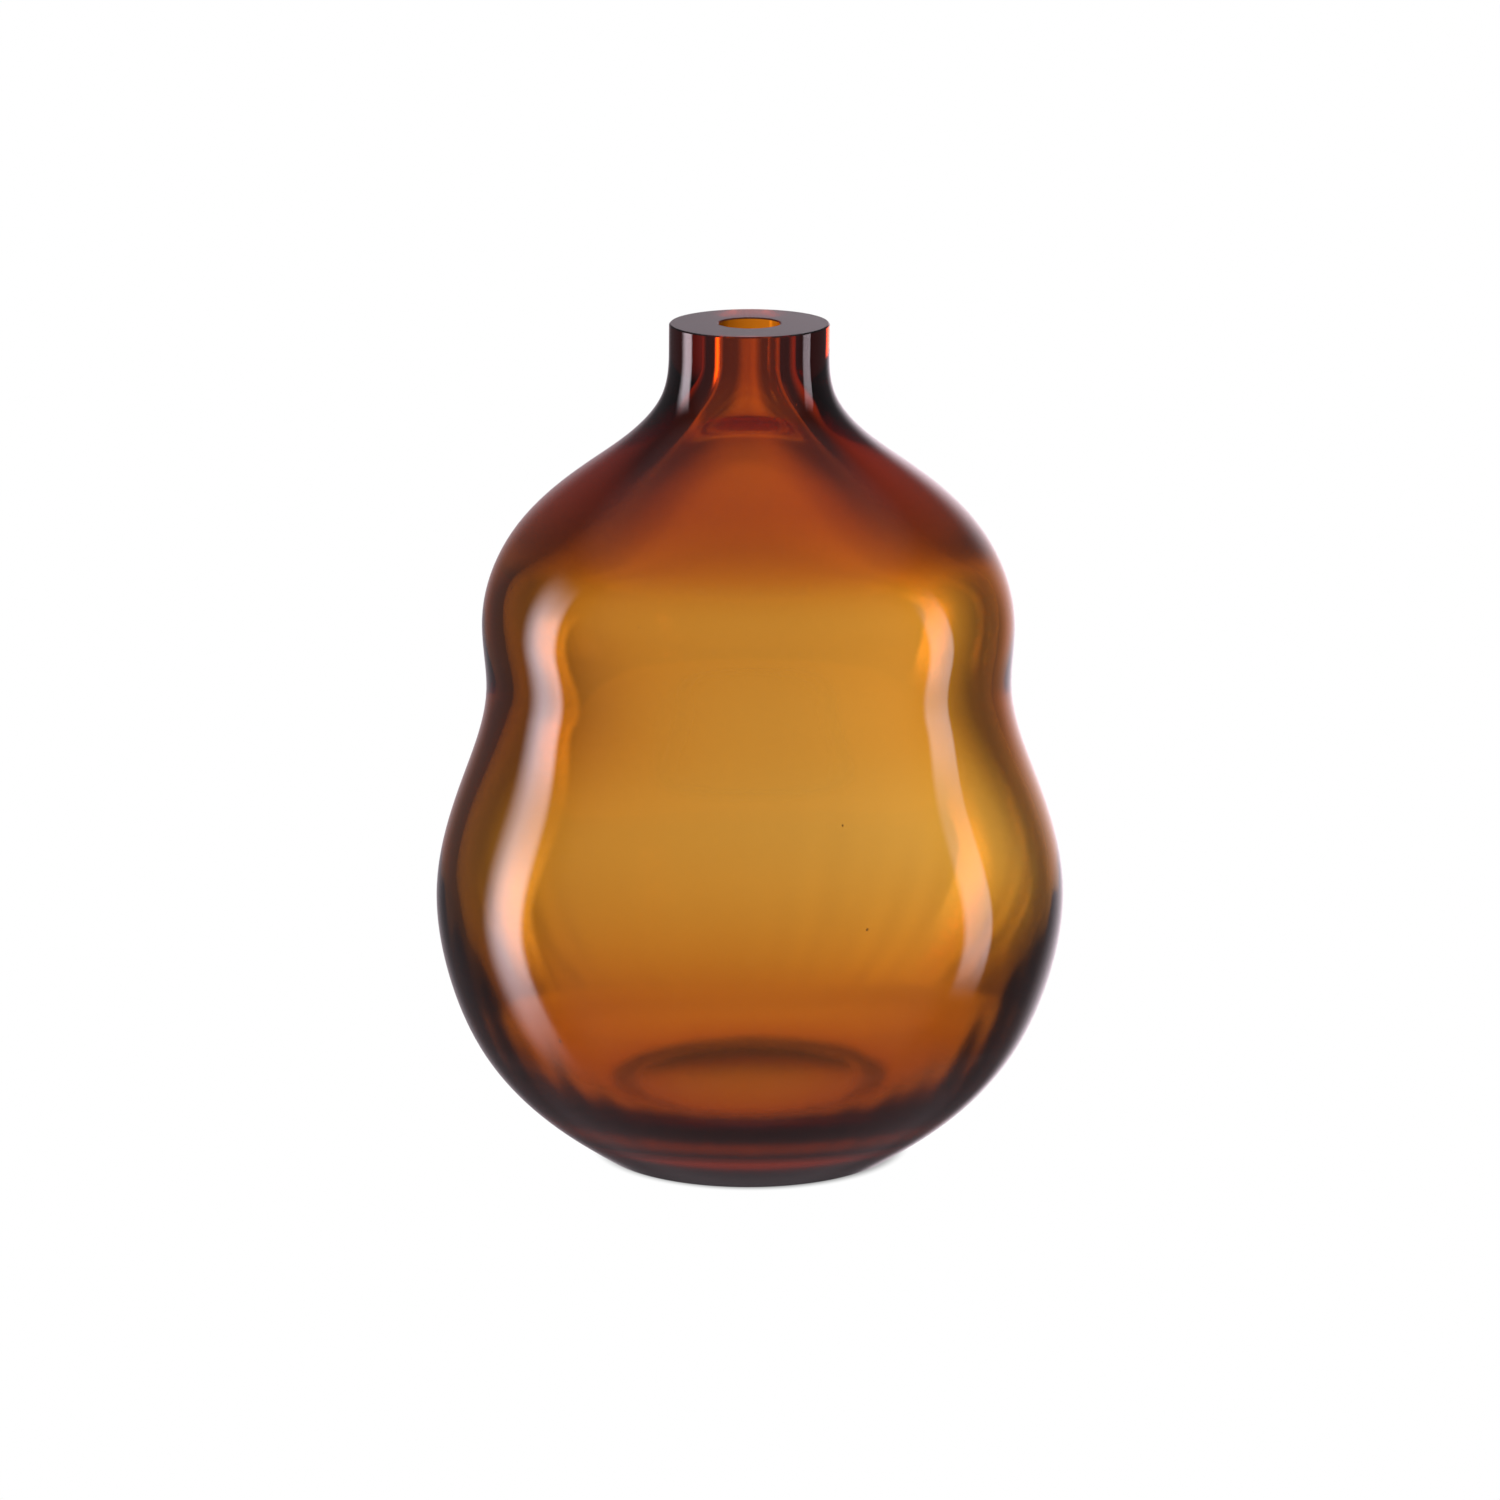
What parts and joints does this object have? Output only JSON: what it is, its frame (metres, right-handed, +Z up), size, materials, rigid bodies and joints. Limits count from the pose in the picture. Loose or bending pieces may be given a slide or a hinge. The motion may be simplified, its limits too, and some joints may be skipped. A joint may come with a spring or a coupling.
{
  "type": "bud vase",
  "caption": "Thick amber glass bud vase: a gourd-shaped double bulge under a short solid neck with a ground flat top and a narrow bore.",
  "frame": {"origin": "centre of the foot, on the surface that the vase stands on", "axes": "+Z up along the axis of the vase, out of its mouth; the vase is round about Z, so +X and +Y are free"},
  "size_m": [0.1868, 0.1868, 0.25],
  "materials": {
    "amber_glass": "clear amber glass, fire-polished outside, ground and polished on the top face and foot"
  },
  "bodies": {
    "root": {"glass_vessel": "amber_glass"}
  },
  "joints": []
}
